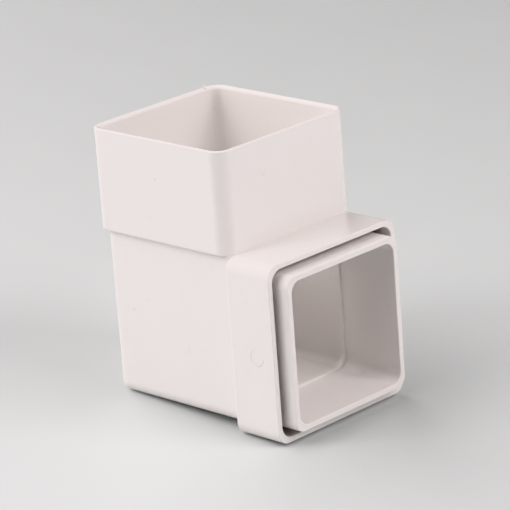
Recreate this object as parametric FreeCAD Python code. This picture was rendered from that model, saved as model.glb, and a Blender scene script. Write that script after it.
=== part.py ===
import FreeCAD, Part

import math
import os

# Square downpipe elbow, one thin-walled moulding, in millimetres.
# A vertical pipe drops into the socket on top. The water turns in the body and leaves
# through a square spigot, which stands inside a collar. The next pipe pushes over the
# spigot into the slot between the two, and the collar hides its cut end.
#
# The frame: the origin is the centre of the socket's pipe stop, +Z runs up the inlet's axis
# and out of its mouth, and +X is the direction in which the outlet points.

# The square pipe that the elbow joins
pipe_width = 65.0
pipe_wall = 1.5

# Walls
wall = 2.2
socket_wall = 2.05
spigot_wall = 2.5

# Inlet socket: play is left on each side of the pipe
socket_depth = 38.9
seat_play = 0.15
mouth_play = 0.45
lead_in_radius = 1.3
socket_rim_radius = 0.5
foot_radius = 1.1

# Body, the square run below the socket: the socket's foot stands proud of it
foot_step = 1.8
corner_radius = 5.8
floor_radius = 4.8
inner_floor_radius = 2.4

# Outlet collar, whose top is a little above the underside of the socket's foot
collar_play = 0.65
collar_lap = 0.3
collar_length = 22.45
collar_corner_radius = 5.2
collar_bore_corner_radius = 5.0
collar_heel_radius = 1.5
collar_rim_radius = 0.35

# Outlet spigot: its passage narrows inwards, down to a lip around the window in the body's wall
spigot_play = 0.1
spigot_reach = 5.1
spigot_corner_radius = 4.8
spigot_nose_radius = 0.5
spigot_edge_radius = 0.35
passage_taper = 0.7
passage_corner_radius = 4.6
lip_height = 1.05
window_corner_radius = 4.5
sill_height = 2.75

# Round witness that an ejector pin leaves on the collar's near side
witness_radius = 3.3
witness_depth = 0.12
witness_setback = 8.7
witness_drop = 1.5

# Half widths that follow from the sizes above
seat_half = pipe_width / 2 + seat_play
mouth_half = pipe_width / 2 + mouth_play
socket_half = mouth_half + socket_wall
bore_corner_radius = corner_radius - socket_wall
body_half = socket_half - foot_step
cavity_half = body_half - wall
collar_bore_half = pipe_width / 2 + collar_play
collar_half = collar_bore_half + wall
spigot_half = pipe_width / 2 - pipe_wall - spigot_play
passage_half = spigot_half - spigot_wall
passage_end_half = passage_half - passage_taper
window_half = passage_end_half - lip_height

# Levels up the inlet's axis
mouth_level = socket_depth
foot_level = -wall
collar_top = foot_level + collar_lap
axis_drop = collar_half - collar_top
cavity_floor = -axis_drop - window_half - sill_height
body_floor = cavity_floor - wall

# Stations along the outlet's axis
slot_floor = body_half + wall
collar_rim = body_half + collar_length
spigot_tip = collar_rim + spigot_reach

# How far one form runs into the next, and a hollow past the face that it breaks through
overlap = 1.0

# How near to a plane or an outline an edge has to be to count as lying on it
on_it = 0.001


def vec(x, y, z):
    return FreeCAD.Vector(x, y, z)


def rounded_square(half, radius):
    """Square outline with rounded corners, about the origin in the XY plane."""
    straight = half - radius
    middle = straight + radius * math.sqrt(0.5)
    side = Part.makeLine(vec(half, -straight, 0), vec(half, straight, 0))
    corner = Part.Arc(vec(half, straight, 0), vec(middle, middle, 0), vec(straight, half, 0)).toShape()
    edges = []
    for quarter in range(4):
        for edge in (side, corner):
            turned = edge.copy()
            turned.rotate(vec(0, 0, 0), vec(0, 0, 1), 90 * quarter)
            edges.append(turned)
    return Part.Wire(edges)


def upright_run(half, radius, low, high):
    """Square run along the inlet's axis."""
    outline = rounded_square(half, radius)
    outline.translate(vec(0, 0, low))
    return Part.Face(outline).extrude(vec(0, 0, high - low))


def outlet_outline(half, radius, station):
    """Rounded square about the outlet's axis, at a station along it."""
    outline = rounded_square(half, radius)
    outline.rotate(vec(0, 0, 0), vec(0, 1, 0), 90)
    outline.translate(vec(station, 0, -axis_drop))
    return outline


def lying_run(half, radius, near, far):
    """Square run along the outlet's axis."""
    return Part.Face(outlet_outline(half, radius, near)).extrude(vec(far - near, 0, 0))


def tub(half, radius, rounding, low, high, round_front):
    """Square run with a rounded floor, square where it meets the outlet unless asked otherwise."""
    block = Part.makeBox(2 * half, 2 * half, high - low, vec(-half, -half, low))
    uprights = []
    for edge in block.Edges:
        ends = [vertex.Point for vertex in edge.Vertexes]
        if abs(ends[0].z - ends[1].z) > on_it and (round_front or ends[0].x < 0):
            uprights.append(edge)
    block = block.makeFillet(radius, uprights)
    rim = [
        edge
        for edge in block.Edges
        if all(abs(vertex.Z - low) < on_it for vertex in edge.Vertexes)
        and any(vertex.X < half - on_it for vertex in edge.Vertexes)
    ]
    return block.makeFillet(rounding, rim)


def from_inlet(point):
    """How far up the inlet's axis a point is, and where across it."""
    return point.z, point.x, point.y


def from_outlet(point):
    """How far along the outlet's axis a point is, and where across it."""
    return point.x, point.y, point.z + axis_drop


def outline_edges(shape, seen, station, half, radius):
    """Edges of a shape that lie on a rounded square outline at one station of an axis."""
    straight = half - radius
    found = []
    for edge in shape.Edges:
        middle = edge.valueAt((edge.FirstParameter + edge.LastParameter) / 2)
        places = [seen(point) for point in [vertex.Point for vertex in edge.Vertexes] + [middle]]
        if all(
            abs(along - station) < on_it
            and abs(math.hypot(max(abs(a) - straight, 0), max(abs(b) - straight, 0)) - radius) < on_it
            for along, a, b in places
        ):
            found.append(edge)
    return found


def socket_form():
    """Outside of the inlet socket, with the rounded edge around its foot."""
    block = upright_run(socket_half, corner_radius, foot_level, mouth_level)
    foot = outline_edges(block, from_inlet, foot_level, socket_half, corner_radius)
    return block.makeFillet(foot_radius, foot)


def body_form():
    """Outside of the body, from inside the socket's foot down to its closed floor."""
    return tub(body_half, corner_radius, floor_radius, body_floor, foot_level + overlap, False)


def collar_form():
    """Outside of the outlet collar, with the rounded edge at its back."""
    block = lying_run(collar_half, collar_corner_radius, body_half, collar_rim)
    heel = outline_edges(block, from_outlet, body_half, collar_half, collar_corner_radius)
    return block.makeFillet(collar_heel_radius, heel)


def saddle():
    """Carries the socket's outline down onto the collar, past the rounded edges of both."""
    low = collar_top - collar_corner_radius
    high = foot_level + foot_radius + overlap
    column = upright_run(socket_half, corner_radius, low, high)
    corner = vec(body_half - overlap, -body_half, low)
    front = Part.makeBox(foot_step + 2 * overlap, 2 * body_half, high - low, corner)
    return column.common(front)


def outside():
    """Socket, body and collar as one block."""
    return socket_form().fuse([body_form(), collar_form(), saddle()]).removeSplitter()


def spigot_form():
    """Outside of the spigot, its nose rounded so that the pipe slides on."""
    block = lying_run(spigot_half, spigot_corner_radius, body_half, spigot_tip)
    nose = outline_edges(block, from_outlet, spigot_tip, spigot_half, spigot_corner_radius)
    return block.makeFillet(spigot_nose_radius, nose)


def socket_bore():
    """Hollow of the socket, which opens a little from the pipe stop to the mouth."""
    seat = rounded_square(seat_half, bore_corner_radius)
    mouth = rounded_square(mouth_half, bore_corner_radius)
    mouth.translate(vec(0, 0, mouth_level))
    return Part.makeLoft([seat, mouth], True, True)


def cavity():
    """Hollow of the body, from the pipe stop down to the floor."""
    return tub(cavity_half, corner_radius - wall, inner_floor_radius, cavity_floor, overlap, True)


def collar_bore():
    """Hollow of the collar, back to the floor of the pipe slot."""
    return lying_run(collar_bore_half, collar_bore_corner_radius, slot_floor, collar_rim + overlap)


def passage():
    """Way out through the spigot, from the face of the lip to the tip."""
    inner = outlet_outline(passage_end_half, passage_corner_radius, body_half)
    outer = outlet_outline(passage_half, passage_corner_radius, spigot_tip)
    return Part.makeLoft([inner, outer], True, True)


def window():
    """Opening in the body's wall that the lip surrounds."""
    return lying_run(window_half, window_corner_radius, cavity_half - overlap, body_half + overlap)


def witness():
    """Shallow disc that the ejector pin leaves in the collar's near side."""
    centre = vec(collar_rim - witness_setback, -collar_half - overlap, -axis_drop - witness_drop)
    return Part.makeCylinder(witness_radius, overlap + witness_depth, centre, vec(0, 1, 0))


def round_rims(shell):
    """Socket mouth with its lead-in, both edges of the collar's rim, and the spigot's inner edge."""
    for seen, station, half, corner, radius in (
        (from_inlet, mouth_level, mouth_half, bore_corner_radius, lead_in_radius),
        (from_inlet, mouth_level, socket_half, corner_radius, socket_rim_radius),
        (from_outlet, collar_rim, collar_half, collar_corner_radius, collar_rim_radius),
        (from_outlet, collar_rim, collar_bore_half, collar_bore_corner_radius, collar_rim_radius),
        (from_outlet, spigot_tip, passage_half, passage_corner_radius, spigot_edge_radius),
    ):
        shell = shell.makeFillet(radius, outline_edges(shell, seen, station, half, corner))
    return shell


def elbow():
    """The whole moulding: the slot is cut first, so that the spigot can stand in it."""
    shell = outside().cut(collar_bore()).fuse(spigot_form())
    shell = shell.cut([socket_bore(), cavity(), window(), passage(), witness()]).removeSplitter()
    return round_rims(shell)


os.makedirs("parts", exist_ok=True)
elbow().exportStep("parts/elbow.step")
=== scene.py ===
"""Square downspout elbow: the finish of the moulding, its small flaws, and the stage."""

import math

import bpy
from mathutils import Matrix, Vector


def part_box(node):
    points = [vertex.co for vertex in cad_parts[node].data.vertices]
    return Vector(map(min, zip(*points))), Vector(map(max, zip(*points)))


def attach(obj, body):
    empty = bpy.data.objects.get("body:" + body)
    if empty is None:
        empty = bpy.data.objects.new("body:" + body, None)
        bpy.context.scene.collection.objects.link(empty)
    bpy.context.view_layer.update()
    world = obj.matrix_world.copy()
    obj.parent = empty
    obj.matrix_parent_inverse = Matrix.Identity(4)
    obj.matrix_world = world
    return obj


bl_info = {
    "name": "Downspout Elbow",
    "version": (1, 0, 0),
    "blender": (4, 5, 0),
    "location": "3D View > Sidebar > Elbow",
    "description": "Finishes a moulded square downspout elbow and sets its stage",
    "category": "Object",
}

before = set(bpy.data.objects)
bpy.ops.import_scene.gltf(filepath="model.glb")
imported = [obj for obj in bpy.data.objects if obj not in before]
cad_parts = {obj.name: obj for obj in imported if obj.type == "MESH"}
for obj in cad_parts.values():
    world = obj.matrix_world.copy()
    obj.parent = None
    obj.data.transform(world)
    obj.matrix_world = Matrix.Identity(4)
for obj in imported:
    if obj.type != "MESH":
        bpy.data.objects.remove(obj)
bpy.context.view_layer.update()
ELBOW_LOW, ELBOW_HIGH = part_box("elbow")
MM = 0.001


# Shader maths


class Wire:
    """A node's output socket that takes part in expressions."""

    def __init__(self, tree, socket):
        self.tree = tree
        self.socket = socket

    def _math(self, operation, *values):
        return self.tree.node("ShaderNodeMath", {"operation": operation}, *values)

    def __add__(self, other):
        return self._math("ADD", self, other)

    def __radd__(self, other):
        return self._math("ADD", other, self)

    def __sub__(self, other):
        return self._math("SUBTRACT", self, other)

    def __rsub__(self, other):
        return self._math("SUBTRACT", other, self)

    def __mul__(self, other):
        return self._math("MULTIPLY", self, other)

    def __rmul__(self, other):
        return self._math("MULTIPLY", other, self)

    def __truediv__(self, other):
        return self._math("DIVIDE", self, other)

    def at_least(self, other):
        return self._math("MAXIMUM", self, other)

    def size(self):
        """How far from 0, on either side."""
        return self._math("ABSOLUTE", self)

    def ramp(self, low, high):
        """0 below low, 1 above high, smooth between; low may be above high."""
        return self.tree.node(
            "ShaderNodeMapRange",
            {"interpolation_type": "SMOOTHSTEP", "clamp": True},
            self, low, high, 0.0, 1.0,
        )


class Finish:
    """A material with a Principled shader, and the one method that adds nodes to it."""

    def __init__(self, name):
        self.material = bpy.data.materials.new(name)
        self.material.use_nodes = True
        self.tree = self.material.node_tree
        self.shader = self.tree.nodes["Principled BSDF"]

    def node(self, kind, settings, *values, output=0, **named):
        """Adds a node: its settings first, then values or wires for its sockets.

        A socket that is given None keeps its own value.
        """
        made = self.tree.nodes.new(kind)
        for key, value in settings.items():
            setattr(made, key, value)
        for key, value in list(enumerate(values)) + list(named.items()):
            socket = made.inputs[key if isinstance(key, int) else key.replace("_", " ")]
            self.feed(socket, value)
        return Wire(self, made.outputs[output])

    def feed(self, socket, value):
        """Links a wire to a socket, or sets a plain value on it."""
        if isinstance(value, Wire):
            self.tree.links.new(value.socket, socket)
        elif value is not None:
            socket.default_value = value

    def set(self, **named):
        """Feeds the shader's own sockets."""
        for key, value in named.items():
            self.feed(self.shader.inputs[key.replace("_", " ")], value)

    def place(self):
        """Object coordinates in millimetres."""
        where = self.node("ShaderNodeTexCoord", {}, output="Object")
        return self.vector("SCALE", where, Scale=1 / MM)

    def part(self, where, axis):
        """One coordinate of a place."""
        return self.node("ShaderNodeSeparateXYZ", {}, where, output=axis)

    def vector(self, operation, *values, output=0, **named):
        kind = "ShaderNodeVectorMath"
        return self.node(kind, {"operation": operation}, *values, output=output, **named)

    def distance(self, a, b):
        return self.vector("DISTANCE", a, b, output="Value")

    def noise(self, where, scale, detail):
        """Cloudy values from 0 to 1, whose scale is in clouds to a millimetre."""
        return self.node(
            "ShaderNodeTexNoise", {}, output="Fac", Vector=where, Scale=scale, Detail=detail,
        )

    def specks(self, where, pitch, radius):
        """Small round specks, thinly scattered: 1 in their middles, 0 between them."""
        nearest = self.node(
            "ShaderNodeTexVoronoi", {}, output="Distance", Vector=where, Scale=1 / pitch,
        )
        return nearest.ramp(radius / pitch, 0.0)

    def patch(self, where, centre, reach, ragged):
        """A soft patch with an uneven edge: 1 within a quarter of its reach, 0 past the reach."""
        offset = self.vector("DIVIDE", self.vector("SUBTRACT", where, centre), reach)
        return (self.vector("LENGTH", offset, output="Value") + ragged).ramp(1.0, 0.25)

    def mix(self, share, a, b):
        """Mixes two colours, whose sockets come after the five for numbers and vectors."""
        skipped = [None] * 5
        return self.node("ShaderNodeMix", {"data_type": "RGBA"}, share, *skipped, a, b, output=2)

    def shades(self, share, colour, spread):
        """Varies a colour between a darker and a lighter shade."""
        darker, lighter = spread
        return self.mix(share, rgb(colour, darker), rgb(colour, lighter))


def rgb(colour, factor=1.0):
    """A colour made darker or lighter, as a colour socket takes it."""
    return (*(part * factor for part in colour), 1.0)


# Sizes and colours that a user would change


class ElbowPlastic(bpy.types.PropertyGroup):
    colour: bpy.props.FloatVectorProperty(
        name="Plastic", description="Colour of the white plastic",
        subtype="COLOR", size=3, min=0, max=1, default=(0.82, 0.797, 0.778),
    )
    # This colour also paints the shadow along the edge of the ejector's mark
    soil_and_shadow: bpy.props.FloatVectorProperty(
        name="Soil", description="Colour of the specks and stains",
        subtype="COLOR", size=3, min=0, max=1, default=(0.42, 0.385, 0.35),
    )
    roughness: bpy.props.FloatProperty(
        name="Roughness", description="How matt the moulded skin is",
        subtype="FACTOR", min=0, max=1, default=0.24,
    )
    grain: bpy.props.FloatProperty(
        name="Grain", description="Height of the skin's fine grain",
        unit="LENGTH", default=0.003 * MM,
    )
    ripple: bpy.props.FloatProperty(
        name="Ripple", description="Height of the slow ripple in the walls",
        unit="LENGTH", default=0.03 * MM,
    )
    speck_pitch: bpy.props.FloatProperty(
        name="Speck spacing", description="Typical distance between neighbouring specks",
        unit="LENGTH", default=6.0 * MM,
    )
    speck_radius: bpy.props.FloatProperty(
        name="Speck radius", description="Radius of the largest specks",
        unit="LENGTH", default=0.9 * MM,
    )
    speck_strength: bpy.props.FloatProperty(
        name="Speck strength", description="How much soil shows in a speck",
        subtype="FACTOR", min=0, max=1, default=0.10,
    )


class ElbowFlash(bpy.types.PropertyGroup):
    foot: bpy.props.FloatVectorProperty(
        name="Foot", description="Where the whisker of flash leaves the socket's rim",
        subtype="TRANSLATION", size=3, default=(-33.3 * MM, 27.2 * MM, 38.6 * MM),
    )
    height: bpy.props.FloatProperty(
        name="Height", description="How far the whisker stands up",
        unit="LENGTH", default=1.9 * MM,
    )
    radius: bpy.props.FloatProperty(
        name="Radius", description="Radius of the whisker at its foot",
        unit="LENGTH", default=0.3 * MM,
    )


class ElbowStage(bpy.types.PropertyGroup):
    floor_colour: bpy.props.FloatVectorProperty(
        name="Floor", description="Colour of the floor",
        subtype="COLOR", size=3, min=0, max=1, default=(0.58, 0.617, 0.612),
    )
    azimuth: bpy.props.FloatProperty(
        name="Azimuth", description="Where the camera stands round the inlet's axis",
        unit="ROTATION", default=math.radians(44.946),
    )
    elevation: bpy.props.FloatProperty(
        name="Elevation", description="How far the camera looks down",
        unit="ROTATION", default=math.radians(18.304),
    )
    roll: bpy.props.FloatProperty(
        name="Roll", description="Turn of the camera about its own axis",
        unit="ROTATION", default=math.radians(4.332),
    )
    reach: bpy.props.FloatProperty(
        name="Distance", description="From the camera to the aim, along its axis",
        unit="LENGTH", default=1252.702 * MM,
    )
    aim: bpy.props.FloatVectorProperty(
        name="Aim", description="Point that the camera's offset is counted from",
        subtype="TRANSLATION", size=3, default=(0, 0, -21.1 * MM),
    )
    offset: bpy.props.FloatVectorProperty(
        name="Offset", description="How far right and down of the camera's axis the aim lies",
        unit="LENGTH", size=2, default=(-10.186 * MM, 4.109 * MM),
    )
    lens: bpy.props.FloatProperty(
        name="Lens", description="Focal length in millimetres",
        unit="CAMERA", default=228.119,
    )


# The moulding's finish


# Patterns in the plastic: clouds to a millimetre, and detail
CLOUD = (0.035, 3.0)
MOTTLE = (0.7, 3.0)
GRAIN = (2.2, 2.0)
RIPPLE = (0.06, 1.0)
RAGGED = (0.9, 3.0)

# Darkest and lightest shade of the plastic, and how far its roughness varies
PLASTIC_SHADES = (0.98, 1.015)
ROUGHNESS_SPREAD = 0.08

# How white PVC refracts, and how much of its gloss is left on a moulded and handled skin
PLASTIC_IOR = 1.5
PLASTIC_GLOSS = 0.3

# Faint stains: centre and reach in millimetres, and how much soil shows
STAINS = {
    "body_spot": ((-19.8, -33.2, -32.7), (1.1, 1.0, 0.7), 0.22),
    "body_upper_smudge": ((-21.5, -33.2, -10.3), (0.8, 1.0, 3.2), 0.07),
    "body_middle_smudge": ((4.9, -33.2, -4.0), (1.2, 1.0, 1.6), 0.06),
    "body_lower_smudge": ((8.5, -33.2, -44.0), (1.5, 1.0, 2.6), 0.06),
    "socket_spot": ((-0.3, -35.0, 23.5), (0.75, 1.0, 0.75), 0.25),
    "socket_smudge": ((-13.0, -35.0, 25.5), (2.2, 1.0, 1.0), 0.05),
    "front_smudge": ((35.0, -13.0, 25.0), (1.0, 1.8, 1.5), 0.07),
    "front_spot": ((35.0, 14.0, 31.0), (1.0, 1.0, 0.8), 0.08),
    "passage_stain": ((43.4, 25.9, -65.2), (2.2, 1.6, 1.2), 0.22),
}

# How uneven a stain's edge is, as a share of its reach
RAGGEDNESS = 1.1

# The ejector's round mark on the collar's near side, in millimetres, with a painted shadow along
# its edge on the lower right side, which fades out towards its upper left
WITNESS = (46.95, -35.35, -38.75)
WITNESS_RADIUS = 3.3
WITNESS_EDGE = 0.35
WITNESS_FADE = (2.0, 1.0)
# How dark the painted shadow along the mark's edge is
WITNESS_PAINTED_SHADOW = 0.45


def soil_and_shadow_share(finish, at, settings):
    """How much soil colour shows: specks and stains, and a painted shadow along the lower right
    edge of the ejector's mark.
    """
    ragged = (finish.noise(at, *RAGGED) - 0.5) * RAGGEDNESS
    pitch, radius = settings.speck_pitch / MM, settings.speck_radius / MM
    share = finish.specks(at, pitch, radius) * settings.speck_strength
    for centre, reach, strength in STAINS.values():
        share = share.at_least(finish.patch(at, centre, reach, ragged) * strength)
    # Painted shadow: a dark ring along the edge of the ejector's mark, only on its lower right
    # side, where the step of the mark is in shade
    edge = (finish.distance(at, WITNESS) - WITNESS_RADIUS).size().ramp(WITNESS_EDGE, 0.0)
    x, _, z = WITNESS
    fade_x, fade_z = WITNESS_FADE
    lower = finish.part(at, "Z").ramp(z + fade_z, z - fade_z)
    right = finish.part(at, "X").ramp(x - fade_x, x + fade_x)
    return share.at_least(edge * lower * right * WITNESS_PAINTED_SHADOW)


def plastic(settings):
    """White plastic as moulded, a little soiled, with a painted shadow along the ejector's mark.
    """
    finish = Finish("moulded_white_plastic")
    at = finish.place()
    mottle = finish.noise(at, *MOTTLE)
    share = finish.noise(at, *CLOUD) * 0.5 + mottle * 0.5
    white = finish.shades(share, settings.colour, PLASTIC_SHADES)
    # Specks and stains, and the painted shadow at the ejector's mark, all in the soil colour
    soil_and_shadow = soil_and_shadow_share(finish, at, settings)
    height = (
        finish.noise(at, *GRAIN) * (settings.grain / MM)
        + finish.noise(at, *RIPPLE) * (settings.ripple / MM)
    )
    skin = finish.node(
        "ShaderNodeBump", {}, output="Normal", Height=height, Distance=MM, Strength=1.0,
    )
    finish.set(
        Base_Color=finish.mix(soil_and_shadow, white, rgb(settings.soil_and_shadow)),
        Roughness=settings.roughness + (mottle - 0.5) * ROUGHNESS_SPREAD,
        IOR=PLASTIC_IOR,
        Specular_IOR_Level=PLASTIC_GLOSS,
        Normal=skin,
    )
    return finish.material


class OBJECT_OT_elbow_moulding(bpy.types.Operator):
    """Gives the elbow's moulding its finish"""

    bl_idname = "object.elbow_moulding"
    bl_label = "Moulding"

    def execute(self, context):
        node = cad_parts["elbow"]
        node.data.materials.clear()
        node.data.materials.append(plastic(context.scene.elbow_plastic))
        return {"FINISHED"}


class MESH_OT_elbow_flash(bpy.types.Operator):
    """Makes the whisker of flash on the socket's back rim"""

    bl_idname = "mesh.elbow_flash"
    bl_label = "Flash"

    SIDES = 8

    # Joints along it: how far up and aside, as shares of the height, and how much thinner it gets
    JOINTS = ((0.35, 0.02, 0.8), (0.35, -0.06, 0.75), (0.2, -0.09, 0.6), (0.1, -0.02, 0.5))

    def execute(self, context):
        settings = context.scene.elbow_flash
        bpy.ops.object.select_all(action="DESELECT")
        bpy.ops.mesh.primitive_circle_add(
            vertices=self.SIDES, radius=settings.radius, fill_type="NGON", location=settings.foot,
        )
        whisker = context.object
        whisker.name = "flash_whisker"
        bpy.ops.object.mode_set(mode="EDIT")
        bpy.ops.mesh.select_all(action="SELECT")
        top = Vector(settings.foot)
        for up, aside, thinner in self.JOINTS:
            step = Vector((aside, aside, up)) * settings.height
            top += step
            bpy.ops.mesh.extrude_region_move(TRANSFORM_OT_translate={"value": step})
            bpy.ops.transform.resize(value=(thinner, thinner, 1), center_override=top)
        bpy.ops.mesh.select_all(action="SELECT")
        bpy.ops.mesh.normals_make_consistent(inside=False)
        bpy.ops.object.mode_set(mode="OBJECT")
        bpy.ops.object.transform_apply()
        bpy.ops.object.shade_smooth()
        whisker.data.materials.append(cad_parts["elbow"].data.materials[0])
        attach(whisker, "root")
        return {"FINISHED"}


# Stage


# The floor: its radius in metres, its sides, its pattern's clouds to a millimetre and detail, its
# darkest and lightest shade, and its roughness
FLOOR_RADIUS = 6.0
FLOOR_SIDES = 96
FLOOR_PATTERN = (0.02, 2.0)
FLOOR_SHADES = (0.985, 1.015)
FLOOR_ROUGHNESS = 0.55

# Width of the camera's sensor in millimetres, and the nearest and farthest that it sees in metres
SENSOR = 36.0
CLIP = (0.05, 20.0)

# Kinds of softbox: size and distance in metres
HUGE = (3.4, 1.7)
BROAD = (1.8, 1.7)
NARROW = (0.8, 1.4)

# Softboxes: azimuth and elevation in degrees, watts, and kind. The sky gives no light.
LAMPS = {
    "left_softbox": (-75.0, 25.0, 76.0, HUGE),
    "right_back_softbox": (135.0, 10.0, 11.2, BROAD),
    "front_left_softbox": (-15.0, 35.0, 6.3, NARROW),
    "top_softbox": (0.0, 62.0, 6.3, NARROW),
    "right_softbox": (105.0, 35.0, 11.0, NARROW),
    "front_right_softbox": (75.0, 35.0, 1.7, NARROW),
}
LAMP_COLOUR = (1.0, 0.931, 0.937)
SKY = 0.0

# Shows colours as they are, and rolls off the brightest ones as a camera does
VIEW = "Khronos PBR Neutral"

# The two rounded lower edges that the elbow leans on, the body's at the back and the collar's:
# x and z of their centres and their radii, in millimetres
HEEL = (-28.4, -64.05, 4.8)
TOE = (34.7, -71.1, 1.5)


def direction(azimuth, elevation):
    """Towards a place round the object, counted from the side that faces -Y."""
    return Vector((
        math.sin(azimuth) * math.cos(elevation),
        -math.cos(azimuth) * math.cos(elevation),
        math.sin(elevation),
    ))


def lamp(name, azimuth, elevation, watts, kind):
    """A softbox that faces the middle of the elbow."""
    size, reach = kind
    towards = direction(math.radians(azimuth), math.radians(elevation))
    middle = (ELBOW_LOW + ELBOW_HIGH) / 2
    bpy.ops.object.light_add(type="AREA", location=middle + towards * reach)
    made = bpy.context.object
    made.name = name
    made.rotation_mode = "QUATERNION"
    made.rotation_quaternion = towards.to_track_quat("Z", "Y")
    made.data.shape = "SQUARE"
    made.data.size = size
    made.data.energy = watts
    made.data.color = LAMP_COLOUR


def camera(settings):
    """The camera: its axis passes beside the aim by the offset, and it is rolled a little."""
    back = direction(settings.azimuth, settings.elevation)
    right = (-back).cross(Vector((0, 0, 1))).normalized()
    down = (-back).cross(right)
    across = math.cos(settings.roll) * right + math.sin(settings.roll) * down
    under = math.cos(settings.roll) * down - math.sin(settings.roll) * right
    place = (
        Vector(settings.aim)
        - across * settings.offset[0]
        - under * settings.offset[1]
        + back * settings.reach
    )
    bpy.ops.object.camera_add()
    made = bpy.context.object
    made.name = "camera"
    made.matrix_world = Matrix((across, -under, back)).transposed().to_4x4()
    made.location = place
    made.data.lens = settings.lens
    made.data.sensor_width = SENSOR
    made.data.clip_start, made.data.clip_end = CLIP
    bpy.context.scene.camera = made


def resting_plane():
    """The plane under both lower edges: its normal and the point where the heel touches it."""
    (heel_x, heel_z, heel_radius), (toe_x, toe_z, toe_radius) = HEEL, TOE
    across, drop = toe_x - heel_x, heel_z - toe_z
    lean = math.acos((heel_radius - toe_radius) / math.hypot(across, drop))
    lean -= math.atan2(across, drop)
    normal = Vector((math.sin(lean), 0, math.cos(lean)))
    return normal, (Vector((heel_x, 0, heel_z)) - normal * heel_radius) * MM


def floor(settings):
    """A round pale floor in the resting plane."""
    normal, heel = resting_plane()
    bpy.ops.object.select_all(action="DESELECT")
    bpy.ops.mesh.primitive_circle_add(
        vertices=FLOOR_SIDES, radius=FLOOR_RADIUS, fill_type="NGON",
    )
    made = bpy.context.object
    made.name = "floor"
    tilt = Vector((0, 0, 1)).rotation_difference(normal).to_matrix().to_4x4()
    made.data.transform(Matrix.Translation(heel) @ tilt)
    finish = Finish("pale_floor")
    share = finish.noise(finish.place(), *FLOOR_PATTERN)
    finish.set(
        Base_Color=finish.shades(share, settings.floor_colour, FLOOR_SHADES),
        Roughness=FLOOR_ROUGHNESS,
    )
    made.data.materials.append(finish.material)


class SCENE_OT_elbow_stage(bpy.types.Operator):
    """Builds the floor, the lights and the camera"""

    bl_idname = "scene.elbow_stage"
    bl_label = "Stage"

    def execute(self, context):
        settings = context.scene.elbow_stage
        floor(settings)
        for name, row in LAMPS.items():
            lamp(name, *row)
        world = bpy.data.worlds.new("studio")
        world.use_nodes = True
        world.node_tree.nodes["Background"].inputs["Strength"].default_value = SKY
        context.scene.world = world
        context.scene.view_settings.view_transform = VIEW
        camera(settings)
        return {"FINISHED"}


class VIEW3D_PT_elbow(bpy.types.Panel):
    """Lists the elbow's pieces and sizes"""

    bl_idname = "VIEW3D_PT_elbow"
    bl_label = "Downspout Elbow"
    bl_space_type = "VIEW_3D"
    bl_region_type = "UI"
    bl_category = "Elbow"

    def draw(self, context):
        for group in (getattr(context.scene, name) for name in GROUPS):
            box = self.layout.box()
            for name in group.bl_rna.properties.keys():
                if name not in ("rna_type", "name"):
                    box.prop(group, name)
        for operator in OPERATORS:
            self.layout.operator(operator.bl_idname)


GROUPS = {"elbow_plastic": ElbowPlastic, "elbow_flash": ElbowFlash, "elbow_stage": ElbowStage}
OPERATORS = (OBJECT_OT_elbow_moulding, MESH_OT_elbow_flash, SCENE_OT_elbow_stage)


def register():
    for kind in (*GROUPS.values(), *OPERATORS, VIEW3D_PT_elbow):
        bpy.utils.register_class(kind)
    for name, kind in GROUPS.items():
        setattr(bpy.types.Scene, name, bpy.props.PointerProperty(type=kind))


def unregister():
    for name in GROUPS:
        delattr(bpy.types.Scene, name)
    for kind in (VIEW3D_PT_elbow, *OPERATORS, *GROUPS.values()):
        bpy.utils.unregister_class(kind)


def main():
    register()
    bpy.ops.object.elbow_moulding()
    bpy.ops.mesh.elbow_flash()
    bpy.ops.scene.elbow_stage()


if __name__ == "__main__":
    main()
